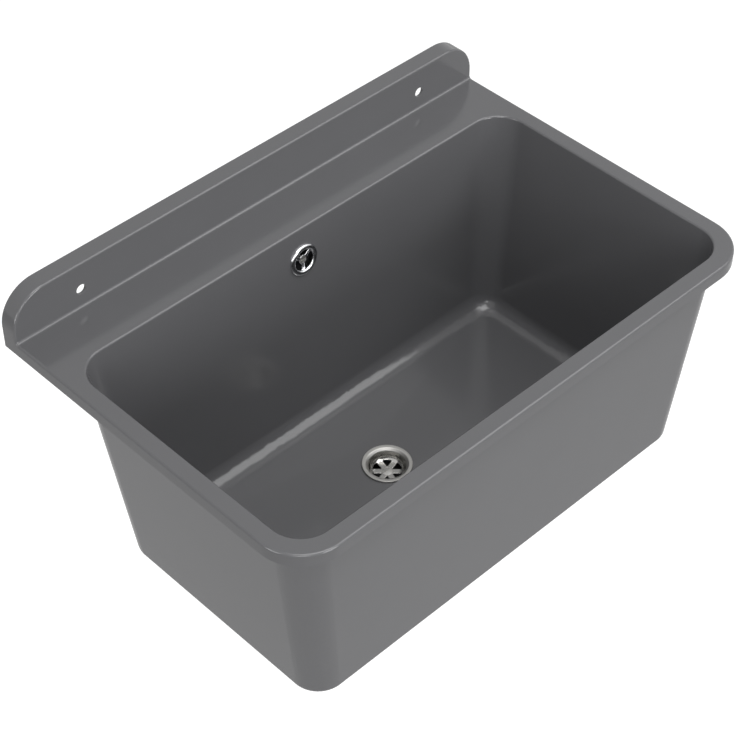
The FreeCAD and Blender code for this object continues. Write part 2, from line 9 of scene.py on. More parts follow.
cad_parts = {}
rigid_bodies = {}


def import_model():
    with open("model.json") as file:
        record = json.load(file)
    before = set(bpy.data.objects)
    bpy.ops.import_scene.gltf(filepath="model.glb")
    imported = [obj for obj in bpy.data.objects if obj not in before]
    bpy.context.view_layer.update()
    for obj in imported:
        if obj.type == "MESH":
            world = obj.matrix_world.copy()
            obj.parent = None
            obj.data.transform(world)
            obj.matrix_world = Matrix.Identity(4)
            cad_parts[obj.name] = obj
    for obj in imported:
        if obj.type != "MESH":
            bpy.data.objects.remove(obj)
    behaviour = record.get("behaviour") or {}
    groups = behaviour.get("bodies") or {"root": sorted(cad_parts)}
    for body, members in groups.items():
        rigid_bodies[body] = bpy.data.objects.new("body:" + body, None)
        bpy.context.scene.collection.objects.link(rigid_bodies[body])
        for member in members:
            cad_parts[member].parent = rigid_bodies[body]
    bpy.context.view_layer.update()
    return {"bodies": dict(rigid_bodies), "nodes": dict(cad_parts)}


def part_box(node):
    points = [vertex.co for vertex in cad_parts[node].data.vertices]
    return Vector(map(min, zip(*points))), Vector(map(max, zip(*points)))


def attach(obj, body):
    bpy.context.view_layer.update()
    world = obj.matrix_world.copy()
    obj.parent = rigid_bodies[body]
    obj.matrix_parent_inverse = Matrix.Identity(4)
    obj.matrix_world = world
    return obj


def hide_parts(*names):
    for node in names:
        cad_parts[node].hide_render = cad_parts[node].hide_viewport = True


bl_info = {
    "name": "Mop service sink",
    "version": (1, 0, 0),
    "blender": (4, 5, 0),
    "location": "View3D > Sidebar > Sink",
    "description": "Dresses the packed mop sink: moulded tub, strainer, overflow and their fittings",
    "category": "Add Mesh",
}

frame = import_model()
BODY = sorted(frame["bodies"])[0]
MM = 0.001

# Where the CAD has its fittings. A port's mouth is measured from the middle of its own fitting.
OVERFLOW_AT = (0, -80.591 * MM, -38 * MM)
BACK_WALL_DRAFT = 4.65     # degrees
UPPER_PORT_AT = (0, 36 * MM, 25.987 * MM)
LOWER_PORT_AT = (0, 46 * MM, -26.5 * MM)
STRAINER_TURN = 45.8       # degrees from +X to the middle of an opening

# Screws: each slot is its width and depth, and plain is the length without thread
STRAINER_SCREW = dict(head_r=5.6 * MM, shank_r=3.0 * MM, length=38.6 * MM, crown=0.6 * MM,
                      slot=(1.2 * MM, 0.7 * MM), pitch=1.0 * MM, plain=15 * MM)
OVERFLOW_SCREW = dict(head_r=4.2 * MM, shank_r=2.5 * MM, length=34.0 * MM, crown=0.5 * MM,
                      slot=(0.9 * MM, 0.6 * MM), pitch=0.8 * MM, plain=12 * MM)
STRAINER_SCREW_LIFT = 0.05 * MM    # edge of the head above the strainer's bottom
OVERFLOW_SCREW_DEPTH = 0.55 * MM   # edge of the head behind the wall's face

# Threads: the tail's is the 1 1/4 inch parallel pipe thread
TAIL_R, PORT_R = 20.955 * MM, 14 * MM
TAIL_THREAD = dict(crest=TAIL_R, root=19.6 * MM, low=-75.2 * MM, high=-48.3 * MM, pitch=2.309 * MM,
                   inner=18.6 * MM)
PORT_THREAD = dict(crest=PORT_R, root=13.05 * MM, low=-15.9 * MM, high=-9.4 * MM, pitch=1.8 * MM,
                   inner=12.0 * MM)
# What is turned down for them: radius, low, high and depth
TAIL_TURNED = (TAIL_R, -75.5 * MM, -47.9 * MM, 1.6 * MM)
PORT_TURNED = (PORT_R, -16.1 * MM, -15.9 * MM, 1.5 * MM)

# Points that lie this close are one, and edges this short are dropped, in metres
WELD, SLIVER = 2e-6, 1e-7

# Route of the overflow hose in metres, from inside the elbow's port to inside the waste's port
HOSE_ROUTE = [(0, -0.05650, -0.06233), (0, -0.06738, -0.19603), (0, -0.07073, -0.23730),
              (0, -0.10241, -0.26650), (0, -0.14381, -0.26650), (0, -0.16910, -0.26650)]


# ---- colours and sizes that a user would change ---------------------------------------
def linear(colour):
    """sRGB hex to linear: each channel is c / 12.92 below 0.04045 and
    ((c + 0.055) / 1.055) ** 2.4 above."""
    channels = [int(colour[i:i + 2], 16) / 255 for i in (1, 3, 5)]
    return [c / 12.92 if c <= 0.04045 else ((c + 0.055) / 1.055) ** 2.4 for c in channels]


def colour_prop(name, description, value):
    return bpy.props.FloatVectorProperty(name=name, description=description, subtype="COLOR",
                                         size=3, min=0, max=1, default=linear(value))


def length_prop(name, description, millimetres):
    return bpy.props.FloatProperty(name=name, description=description, unit="LENGTH",
                                   default=millimetres * MM, min=0, precision=5)


class SinkColours(bpy.types.PropertyGroup):
    moulding: colour_prop("Moulding", "Dark grey polypropylene of the sink", "#5A5A5C")
    fittings: colour_prop("Fittings", "Black polypropylene of the waste, elbow and nuts", "#29292B")
    hose: colour_prop("Hose", "Grey polyethylene of the overflow hose", "#B4B7B9")
    rubber: colour_prop("Rubber", "Black rubber of the seals", "#1C1C1D")
    steel: colour_prop("Steel", "Stainless steel of the strainer and screws", "#ABAAA7")
    chrome: colour_prop("Chrome", "Bright chrome plate of the overflow rose", "#D2D3D5")
    brass: colour_prop("Brass", "Brass of the insert nuts", "#C2A25E")


class SinkSizes(bpy.types.PropertyGroup):
    sheet: length_prop("Strainer sheet", "Thickness of the strainer's steel", 1.0)
    flange_r: length_prop("Flange radius", "Outer edge of the strainer flange", 26.2)
    throat_r: length_prop("Throat radius", "Inside of the strainer at its top", 19.4)
    throat_taper: length_prop("Throat taper", "How much the throat narrows on the way down", 0.8)
    cup_depth: length_prop("Cup depth", "Flange top to strainer bottom", 12.0)
    cup_corner_r: length_prop("Cup corner", "Inside corner at the bottom of the cup", 5.5)
    seal_t: length_prop("Strainer seal", "Rubber under the flange", 0.8)
    flange_crown: length_prop("Flange crown", "Height of the flange above its seal", 1.4)
    flange_round: length_prop("Flange rounding", "Rounding of the flange's outer edge", 0.5)
    flange_lift: length_prop("Flange lift", "Turned-down edge above the floor", 0.1)
    dish_r: length_prop("Dish radius", "Where the flange starts to slope down to the throat", 22.3)
    dish_drop: length_prop("Dish drop", "How far the flange slopes down to the throat", 2.4)
    throat_roll: length_prop("Throat rounding", "Rounding from the dish into the throat", 0.8)
    sector_outer_r: length_prop("Sector outside", "Outer edge of the strainer's openings", 15.5)
    sector_corner_r: length_prop("Sector corners", "Rounding of the openings' corners", 0.6)
    spoke_wide: length_prop("Strainer spokes", "Width of the steel between two openings", 6.0)
    hub_sink_r: length_prop("Hub countersink", "Edge of the seat for the screw", 5.7)
    hub_hole_r: length_prop("Hub hole", "Hole for the screw", 3.3)
    hub_dip: length_prop("Hub dip", "Depth of the screw's seat", 1.92)
    rose_r: length_prop("Rose radius", "Outer edge of the overflow rose", 17.5)
    rose_crown: length_prop("Rose crown", "How far the rose stands off the wall", 2.8)
    rose_open_r: length_prop("Rose opening", "Inside of the rose's ring", 11.8)
    rose_sleeve_r: length_prop("Rose sleeve", "Outside of the sleeve through the wall", 12.9)
    rose_sleeve: length_prop("Rose sleeve length", "Sleeve behind the wall's face", 3.98)
    rose_spoke: length_prop("Rose spokes", "Width of an arm of the rose", 3.4)
    rose_hub_r: length_prop("Rose hub", "Outer edge of the rose's hub", 4.8)
    rose_recess: length_prop("Rose recess", "Front of the hub behind the wall's face", 0.6)
    rose_back: length_prop("Rose back", "Back of the hub and arms behind the wall's face", 2.8)
    rib_r: length_prop("Hose ribs", "Outside of the hose's ribs", 12.0)
    valley_r: length_prop("Hose valleys", "Outside of the hose between its ribs", 10.2)
    cuff_r: length_prop("Hose cuffs", "Outside of the hose's smooth ends", 10.5)
    cuff_length: length_prop("Cuff length", "Length of each smooth end", 24.0)
    hose_wall: length_prop("Hose wall", "Thickness of the blown hose", 1.3)
    rib_pitch: length_prop("Rib pitch", "From one rib of the hose to the next", 4.6)


# ---- numpy surfaces -------------------------------------------------------------------
def quads(rows, columns, wrap_rows, wrap_columns):
    """Vertex numbers of the faces of a grid that is rows by columns."""
    i = np.arange(rows if wrap_rows else rows - 1)[:, None]
    j = np.arange(columns if wrap_columns else columns - 1)[None, :]
    k, m = (i + 1) % rows, (j + 1) % columns
    corners = [i * columns + j, k * columns + j, k * columns + m, i * columns + m]
    return np.stack(corners, -1).reshape(-1, 4)


def piece(name, grids, material, sharp=35.0):
    """One object from several grids. Each is (points[rows, columns, 3], wrap_rows, wrap_columns).
    Points that meet are welded, so seams and poles close."""
    points, faces, start = [], [], 0
    for grid, wrap_rows, wrap_columns in grids:
        rows, columns = grid.shape[:2]
        points.append(grid.reshape(-1, 3))
        faces.append(quads(rows, columns, wrap_rows, wrap_columns) + start)
        start += rows * columns
    mesh = bpy.data.meshes.new(name)
    mesh.from_pydata(np.concatenate(points).tolist(), [], np.concatenate(faces).tolist())
    return finished(name, mesh, material, sharp)


def finished(name, mesh, material, sharp):
    """Weld, turn the faces outwards, shade smooth with sharp edges kept, and ride on the sink."""
    work = bmesh.new()
    work.from_mesh(mesh)
    bmesh.ops.remove_doubles(work, verts=work.verts, dist=WELD)
    bmesh.ops.dissolve_degenerate(work, dist=SLIVER, edges=work.edges)
    bmesh.ops.recalc_face_normals(work, faces=work.faces)
    limit = math.radians(sharp)
    for edge in work.edges:
        edge.smooth = len(edge.link_faces) == 2 and edge.calc_face_angle(0.0) < limit
    for face in work.faces:
        face.smooth = True
    work.to_mesh(mesh)
    work.free()
    thing = bpy.data.objects.new(name, mesh)
    bpy.context.scene.collection.objects.link(thing)
    thing.data.materials.clear()
    thing.data.materials.append(material)
    weighted = thing.modifiers.new("Weighted normals", "WEIGHTED_NORMAL")
    weighted.keep_sharp = True
    weighted.weight = 100
    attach(thing, BODY)
    return thing


def dressed_copy(node, name, material, sharp=28.0, turned_down=()):
    """A merged copy of a CAD node that stands for it, so that its round faces shade smoothly.
    Each entry of turned_down is (place, radius, low, high, depth), where pared makes room for a
    thread."""
    mesh = frame["nodes"][node].data.copy()
    if turned_down:
        points = np.empty(len(mesh.vertices) * 3)
        mesh.vertices.foreach_get("co", points)
        points = points.reshape(-1, 3)
        for thread in turned_down:
            points = pared(points, *thread)
        mesh.vertices.foreach_set("co", points.ravel())
    thing = finished(name, mesh, material, sharp)
    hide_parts(node)
    return thing


def pared(points, place, radius, low, high, depth):
    """Points on the cylinder of that radius about the place's Z axis, between two heights, moved
    inwards by depth: (x, y) (1 - depth / r)."""
    near = 0.1 * MM
    local = set_at(points, place.inverted())
    r = np.hypot(local[:, 0], local[:, 1])
    on = (abs(r - radius) < near) & (local[:, 2] > low) & (local[:, 2] < high)
    local[:, :2] *= np.where(on, 1 - depth / np.maximum(r, MM), 1)[:, None]
    return set_at(local, place)


def quarter(start, end, corner, steps=6):
    """Quarter round: centre = start + end - corner, point(t) = centre + (start - centre) cos t
    + (end - centre) sin t for t from 0 to a right angle."""
    start, end, corner = (np.array(p, float) for p in (start, end, corner))
    centre = start + end - corner
    t = np.linspace(0, math.pi / 2, steps + 1)[:, None]
    return centre + (start - centre) * np.cos(t) + (end - centre) * np.sin(t)


def revolved(profile, segments=72, turn=0.0):
    """Surface of revolution: (r cos a, r sin a, z) for each profile point (r, z) and each angle a."""
    a = turn + np.linspace(0, 2 * math.pi, segments, endpoint=False)[None, :]
    r, z = (np.array(profile, float)[:, i][:, None] for i in (0, 1))
    return np.stack([r * np.cos(a), r * np.sin(a), z + 0 * a], -1)


def set_at(grid, place):
    """The grid's points moved and turned by a 4 x 4 placement."""
    m = np.array(place)
    return grid @ m[:3, :3].T + m[:3, 3]


# ---- materials ------------------------------------------------------------------------
def add(tree, kind, settings=(), **links):
    """One shader node, its settings as (socket or property, value) pairs, and its links as
    socket=output, where _0 stands for the socket of that number."""
    node = tree.nodes.new(kind)
    for name, value in settings:
        if isinstance(name, int) or name in node.inputs:
            node.inputs[name].default_value = value
        else:
            setattr(node, name, value)
    for name, output in links.items():
        key = int(name[1:]) if name[0] == "_" and name[1:].isdigit() else name.replace("_", " ")
        tree.links.new(output, node.inputs[key])
    return node


def new_material(name):
    material = bpy.data.materials.new(name)
    material.use_nodes = True
    tree = material.node_tree
    tree.nodes.clear()
    return material, tree


def place_nodes(tree, centre=(0, 0, 0)):
    """Object coordinates, moved so that the pattern's own origin is at centre."""
    coordinates = add(tree, "ShaderNodeTexCoord")
    return add(tree, "ShaderNodeMapping", [("Location", [-c for c in centre])],
               Vector=coordinates.outputs["Object"]).outputs["Vector"]


def per_mm(millimetres):
    """Noise scale whose features are about this many millimetres across."""
    return 1 / (millimetres * MM)


def moulded_plastic(name, colour, roughness, grain_mm, grain_depth, tone=0.04, ior=1.49,
                    wave_depth=0.0):
    """Moulded plastic. The mould's grain breaks up the gloss, slow changes of tone and gloss follow
    the way the melt flowed, and a large moulding's walls wave a little where they shrank. The real
    grain is about 0.1 mm, too fine to show in the render, so it is drawn five to twelve times coarser.
    grain_mm, grain_depth and wave_depth are in millimetres."""
    flow_mm, wave_mm = 90, 40
    material, tree = new_material(name)
    at = place_nodes(tree)
    flow = add(tree, "ShaderNodeTexNoise", [("Scale", per_mm(flow_mm)), ("Detail", 3.0)], Vector=at)
    grain = add(tree, "ShaderNodeTexNoise", [("Scale", per_mm(grain_mm)), ("Detail", 2.0)], Vector=at)
    low = [c * (1 - tone) for c in colour] + [1]
    high = [min(c * (1 + tone), 1) for c in colour] + [1]
    tint = add(tree, "ShaderNodeMix", [("data_type", "RGBA"), (6, low), (7, high)],
               _0=flow.outputs["Fac"])
    gloss = add(tree, "ShaderNodeMapRange",
                [("From Min", 0.3), ("From Max", 0.7), ("To Min", roughness * 0.92),
                 ("To Max", roughness * 1.08)], Value=flow.outputs["Fac"])
    bump = add(tree, "ShaderNodeBump", [("Strength", 1.0), ("Distance", grain_depth * MM)],
               Height=grain.outputs["Fac"])
    normal = bump.outputs["Normal"]
    if wave_depth:
        wave = add(tree, "ShaderNodeTexNoise", [("Scale", per_mm(wave_mm)), ("Detail", 1.0)],
                   Vector=at)
        normal = add(tree, "ShaderNodeBump", [("Strength", 1.0), ("Distance", wave_depth * MM)],
                     Height=wave.outputs["Fac"], Normal=normal).outputs["Normal"]
    shader = add(tree, "ShaderNodeBsdfPrincipled", [("IOR", ior)], Base_Color=tint.outputs[2],
                 Roughness=gloss.outputs["Result"], Normal=normal)
    add(tree, "ShaderNodeOutputMaterial", Surface=shader.outputs[0])
    return material


def turned_metal(name, colour, roughness, centre, ring_mm, bright=1.0):
    """Metal turned or polished while it turns: fine rings about its axis draw the highlights out
    sideways. Real rings are about 0.05 mm apart, too fine to show in the render, so they are drawn
    four to five times coarser. Below the floor's level the metal keeps its first polish, at bright
    times the roughness, and above it use has dulled it."""
    spread, depth = 0.3, 0.0006 * MM
    polished_z, worn_z = -3 * MM, 1 * MM
    material, tree = new_material(name)
    at = place_nodes(tree, centre)
    parts = add(tree, "ShaderNodeSeparateXYZ", Vector=at)
    x2 = add(tree, "ShaderNodeMath", [("operation", "MULTIPLY")], _0=parts.outputs["X"],
             _1=parts.outputs["X"])
    y2 = add(tree, "ShaderNodeMath", [("operation", "MULTIPLY_ADD")], _0=parts.outputs["Y"],
             _1=parts.outputs["Y"], _2=x2.outputs[0])
    r = add(tree, "ShaderNodeMath", [("operation", "SQRT")], _0=y2.outputs[0])
    ring = add(tree, "ShaderNodeCombineXYZ", X=r.outputs[0], Z=parts.outputs["Z"])
    lines = add(tree, "ShaderNodeTexNoise", [("Scale", per_mm(ring_mm)), ("Detail", 3.0)],
                Vector=ring.outputs[0])
    gloss = add(tree, "ShaderNodeMapRange",
                [("To Min", roughness * (1 - spread)), ("To Max", roughness * (1 + spread))],
                Value=lines.outputs["Fac"])
    worn = add(tree, "ShaderNodeMapRange", [("From Min", polished_z), ("From Max", worn_z),
                                            ("To Min", bright), ("To Max", 1.0)],
               Value=parts.outputs["Z"])
    rough = add(tree, "ShaderNodeMath", [("operation", "MULTIPLY")], _0=gloss.outputs["Result"],
                _1=worn.outputs["Result"])
    bump = add(tree, "ShaderNodeBump", [("Strength", 1.0), ("Distance", depth)],
               Height=lines.outputs["Fac"])
    shader = add(tree, "ShaderNodeBsdfPrincipled", [("Base Color", [*colour, 1]), ("Metallic", 1.0)],
                 Roughness=rough.outputs[0], Normal=bump.outputs["Normal"])
    add(tree, "ShaderNodeOutputMaterial", Surface=shader.outputs[0])
    return material


def chrome_plate(name, colour):
    """Bright chrome over polished plastic: almost a mirror, with a slow ripple from the polishing
    and a thin haze of water marks."""
    ripple_mm, ripple_depth = 9, 0.02 * MM
    material, tree = new_material(name)
    at = place_nodes(tree)
    ripple = add(tree, "ShaderNodeTexNoise", [("Scale", per_mm(ripple_mm)), ("Detail", 1.0)],
                 Vector=at)
    gloss = add(tree, "ShaderNodeMapRange", [("To Min", 0.17), ("To Max", 0.23)],
                Value=ripple.outputs["Fac"])
    bump = add(tree, "ShaderNodeBump", [("Strength", 1.0), ("Distance", ripple_depth)],
               Height=ripple.outputs["Fac"])
    shader = add(tree, "ShaderNodeBsdfPrincipled", [("Base Color", [*colour, 1]), ("Metallic", 1.0)],
                 Roughness=gloss.outputs["Result"], Normal=bump.outputs["Normal"])
    add(tree, "ShaderNodeOutputMaterial", Surface=shader.outputs[0])
    return material


def finish_of(name):
    """The material of that name, made when first asked for. Plastics and rubber take their
    roughness, grain and depth of grain here, metals their roughness and the width of a ring."""
    if name in bpy.data.materials:
        return bpy.data.materials[name]
    colours = bpy.context.scene.sink_colours
    waste = waste_centre()
    makers = {
        # Polypropylene from a polished mould: satin, with soft lights that follow every rounding
        "moulded_grey_polypropylene": lambda: moulded_plastic(
            name, colours.moulding, 0.15, 1.2, 0.006, wave_depth=0.02),
        # Polypropylene from a plain mould: nearly matt, with wide dim lights
        "moulded_black_polypropylene": lambda: moulded_plastic(
            name, colours.fittings, 0.42, 0.8, 0.015),
        # Polyethylene blown into a ribbed mould: pale and waxy, with a short light on each rib
        "blown_grey_polyethylene": lambda: moulded_plastic(
            name, colours.hose, 0.45, 0.8, 0.02, ior=1.51),
        # Rubber pressed in a rough mould: black and dull
        "moulded_black_rubber": lambda: moulded_plastic(
            name, colours.rubber, 0.7, 0.5, 0.03, ior=1.52),
        # Steel sheet pressed and polished while it spins: a worn grey flange round a bright cup
        "spun_stainless_steel": lambda: turned_metal(
            name, colours.steel, 0.44, waste, 0.25, bright=0.45),
        # Steel bar turned on a lathe: an even grey sheen
        "turned_stainless_steel": lambda: turned_metal(name, colours.steel, 0.38, waste, 0.2),
        # Chrome on plastic: mirrors the room in hard bright arcs
        "chrome_plated_plastic": lambda: chrome_plate(name, colours.chrome),
        # Brass bar turned on a lathe: a warm yellow sheen
        "turned_brass": lambda: turned_metal(name, colours.brass, 0.3, waste, 0.2),
    }
    return makers[name]()


def waste_centre():
    """The middle of the waste at the height of the floor, from the boxes of the CAD nodes."""
    low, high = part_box("strainer_seal")
    return ((low.x + high.x) / 2, (low.y + high.y) / 2, low.z)


def waste_place():
    """The middle of the waste at the height of the floor, with Z up."""
    return Matrix.Translation(Vector(waste_centre()))


def overflow_place():
    """The middle of the overflow on the bowl's leaning back wall: Z grows into the wall."""
    lean = Matrix.Rotation(math.radians(-90 - BACK_WALL_DRAFT), 4, "X")
    return Matrix.Translation(OVERFLOW_AT) @ lean


def upper_union_place():
    """The mouth of the elbow's port, with Z down along the hose."""
    turn = Matrix.Rotation(math.radians(-90), 4, "X")
    return overflow_place() @ Matrix.Translation(UPPER_PORT_AT) @ turn


def lower_union_place():
    """The mouth of the waste's port, with Z back along the hose."""
    turn = Matrix.Rotation(math.radians(-90), 4, "X")
    return waste_place() @ Matrix.Translation(LOWER_PORT_AT) @ turn


# ---- strainer -------------------------------------------------------------------------
# The cells round the openings end this far up the cup's corner, as a share of its radius
BORDER_SHARE = 0.75


def strainer_cup(sizes):
    """Flange and throat: the profile (r, z) of the pressed sheet, turned about the waste. It starts
    at the cells' border on top, runs out over the flange and comes back underneath."""
    crown_fall, ridge_fall = 0.2 * MM, 0.03 * MM
    t = sizes.sheet
    r0, r1, c = sizes.throat_r, sizes.throat_r - sizes.throat_taper, sizes.cup_corner_r
    under = sizes.seal_t
    top = under + sizes.flange_crown
    bottom = top - sizes.cup_depth
    share = math.asin(BORDER_SHARE)
    inside = corner_arc(r1 - c, bottom + c, c, share)
    outside = corner_arc(r1 - c, bottom + c, c + t, share)[::-1]
    edge, roll, soft = sizes.flange_r, sizes.throat_roll, sizes.flange_round
    dish = np.array([sizes.dish_r, top - crown_fall])
    throat = np.array([r0, dish[1] - sizes.dish_drop])
    down = (throat - dish) / np.linalg.norm(throat - dish)
    return np.concatenate([
        inside,
        quarter(throat - [0, roll], throat - down * roll, throat),
        quarter(dish + down * soft, dish + [soft, ridge_fall], dish),
        quarter((edge - soft, top), (edge, top - soft), (edge, top)),
        [(edge, sizes.flange_lift), (edge - t, sizes.flange_lift), (edge - t, under),
         (sizes.dish_r - t, under), (r0 + t, throat[1])],
        outside,
    ])


def corner_arc(centre_r, centre_z, radius, first, steps=6):
    """Part of the cup's round corner: (r + radius sin t, z - radius cos t) for t from first to a
    right angle."""
    t = np.linspace(first, math.pi / 2, steps + 1)
    return np.stack([centre_r + radius * np.sin(t), centre_z - radius * np.cos(t)], -1)


def opening_outline(sizes, steps=7):
    """One three-sided opening about +X: the outer arc between two sides that are parallel to the
    spokes. Each corner is an arc about a centre that lies one corner radius inside both of its
    edges."""
    half = math.pi / 6
    corner = sizes.sector_corner_r
    outer = sizes.sector_outer_r
    off = (sizes.spoke_wide / 2 + corner) * np.array([math.sin(half), -math.cos(half)])
    along = math.sqrt((outer - corner) ** 2 - (sizes.spoke_wide / 2 + corner) ** 2)
    far = off + along * np.array([math.cos(half), math.sin(half)])
    tip = np.array([(sizes.spoke_wide / 2 + corner) / math.sin(half), 0])
    far_turn = math.atan2(far[1], far[0])
    side_turn = half + math.pi / 2

    def arc(centre, radius, start, end):
        a = np.linspace(start, end, steps)
        return centre + radius * np.stack([np.cos(a), np.sin(a)], -1)

    far_round = arc(far, corner, far_turn, side_turn)
    tip_round = arc(tip, corner, side_turn, math.pi)
    straight = np.linspace(far_round[-1], tip_round[0], 4 * steps)[1:-1]
    upper = np.concatenate([arc(np.zeros(2), outer, 0, far_turn), far_round[1:], straight, tip_round])
    return np.concatenate([upper, (upper * [1, -1])[::-1][1:-1]])


def strainer_grids(sizes, steps=16):
    """The pressed cup. Its bottom is six cells: straight lines run from the cell's border to the
    rounded lip of its opening, and where r is past the flat the sheet rises with the cup's corner,
    z = c - sqrt(c^2 - (r - flat)^2)."""
    side_steps, lip_share = 14, 0.3
    t, c = sizes.sheet, sizes.cup_corner_r
    bottom = sizes.seal_t + sizes.flange_crown - sizes.cup_depth
    flat = sizes.throat_r - sizes.throat_taper - c
    border = flat + BORDER_SHARE * c
    hub = sizes.hub_sink_r
    hole, seated = sizes.hub_hole_r, bottom - sizes.hub_dip
    seat = [(hub, bottom), (hole, seated), (hole, seated - t), (hub, bottom - t)]
    grids = [(revolved(profile, 6 * steps), False, True) for profile in (strainer_cup(sizes), seat)]

    half = math.pi / 6
    outline = opening_outline(sizes)
    middle = np.array([(sizes.spoke_wide / math.sin(half) / 2 + sizes.sector_outer_r) / 2, 0])
    k = np.linspace(-half, half, steps + 1)
    ring = np.stack([np.cos(k), np.sin(k)], -1)
    side = np.linspace(border, hub, side_steps)[1:-1, None] * np.array([math.cos(half), math.sin(half)])
    edge = np.concatenate([border * ring, side, hub * ring[::-1], (side * [1, -1])[::-1]])
    turn = np.arctan2(outline[:, 1], outline[:, 0] - middle[0])
    edge_turn = np.arctan2(edge[:, 1], edge[:, 0] - middle[0])
    order = np.argsort(turn)
    far = np.hypot(*(outline - middle).T)
    reach = np.interp(edge_turn, turn[order], far[order], period=2 * math.pi)
    way = np.stack([np.cos(edge_turn), np.sin(edge_turn)], -1)
    lip = lip_share * t
    bevel = lip_share * lip
    mouth, near_lip, soft = (middle + (reach + d)[:, None] * way for d in (0, bevel, lip))
    between = (edge + 2 * soft) / 3
    rows = [(edge, 0), (between, 0), (soft, 0), (near_lip, -bevel), (mouth, -lip), (mouth, lip - t),
            (near_lip, bevel - t), (soft, -t), (between, -t), (edge, -t)]
    cell = np.stack([np.concatenate([p, np.full((len(p), 1), z)], 1) for p, z in rows])
    past = np.clip(np.hypot(cell[..., 0], cell[..., 1]) - flat, 0, None)
    deep = -cell[..., 2]
    bend = c + deep
    out = past / c * bend
    push = 1 + (out - past) / np.maximum(np.hypot(cell[..., 0], cell[..., 1]), hub)
    cell[..., 0] *= push
    cell[..., 1] *= push
    cell[..., 2] = bottom + c - np.sqrt(bend ** 2 - out ** 2)
    for n in range(6):
        a = n * 2 * half
        spin = np.array([[math.cos(a), math.sin(a), 0], [-math.sin(a), math.cos(a), 0], [0, 0, 1]])
        grids.append((cell @ spin, False, True))
    return grids


# ---- screws and threads ---------------------------------------------------------------
def slotted_screw(head_r, shank_r, length, crown, slot, pitch, plain):
    """Raised countersunk screw, pointing down from z = 0 at the edge of its head.
    Head: x = t sqrt(R^2 - y^2) and z = crown (1 - r^2 / R^2), in two bands beside a slot along X.
    Thread: r = shank - depth |2 frac(z / pitch + a / 2 pi) - 1|, faded in over one pitch."""
    rim, point, start = 0.12 * MM, 0.6 * MM, 0.2 * MM
    wide, deep = slot
    floor = crown - deep
    t = np.linspace(-1, 1, 17)[None, :]

    def across(y, z=None):
        y = np.array(y)[:, None] + 0 * t
        x = t * np.sqrt(np.maximum(head_r ** 2 - y ** 2, 0))
        dome = crown * (1 - (x ** 2 + y ** 2) / head_r ** 2)
        return np.stack([x, y, dome if z is None else np.full_like(x, z)], -1)

    side = head_r * np.sin(np.linspace(math.asin(wide / 2 / head_r), math.pi / 2, 9))
    edges = np.array([-wide / 2, wide / 2])
    bed = across(edges, floor)
    walls = [np.stack([across([y])[0], across([y], floor)[0]]) for y in edges]
    grids = [(g, False, False) for g in (across(side), across(-side), bed, *walls)]

    y = np.concatenate([-side[::-1], edges, side])
    in_slot = np.concatenate([side < 0, edges > -1, side < 0])
    x = np.sqrt(np.maximum(head_r ** 2 - y ** 2, 0))
    mirrored = ((x, -x[::-1]), (y, y[::-1]), (in_slot, in_slot[::-1]))
    x, y, in_slot = (np.concatenate(pair) for pair in mirrored)
    a = np.arctan2(y, x)[None, :]
    sink = rim + (head_r - shank_r) * 0.8
    top = np.where(in_slot, floor, 0)
    turns = np.arange(sink + start, length - point, pitch / 6)
    z = -np.concatenate([[sink], turns, [length - point]])[:, None]
    fade = np.clip((-z - plain) / pitch, 0, 1)
    wave = np.abs(2 * np.mod(z / pitch + a / (2 * math.pi), 1) - 1)
    r = shank_r - 0.5 * pitch * fade * wave
    rows = [np.full_like(a, head_r)] * 3 + [r, np.full_like(a, shank_r - point), 0 * a]
    heights = [top[None, :], floor + 0 * a, -rim + 0 * a, z + 0 * a, -length + 0 * a, -length + 0 * a]
    r, z = np.concatenate(rows), np.concatenate(heights)
    grids.append((np.stack([r * np.cos(a), r * np.sin(a), z], -1), False, True))
    return grids


def thread_sleeve(crest, root, low, high, pitch, inner):
    """Rounded pipe thread: r = root + (crest - root) (1 + cos 2 pi (z / pitch + a / 2 pi)) / 2, run
    out at both ends, over a plain inner wall."""
    z = np.arange(low, high, pitch / 8)[:, None]
    a = np.linspace(0, 2 * math.pi, 96, endpoint=False)[None, :]
    out = np.clip(np.minimum(z - low, z[-1] - z) / (0.6 * pitch), 0, 1)
    wave = np.cos(2 * math.pi * (z / pitch + a / (2 * math.pi)))
    r = root + (crest - root) * out * (0.5 + 0.5 * wave)
    r = np.concatenate([r, np.full((2, a.size), inner)])
    z = np.concatenate([z, z[[-1, 0]]])
    return np.stack([r * np.cos(a), r * np.sin(a), z + 0 * a], -1)


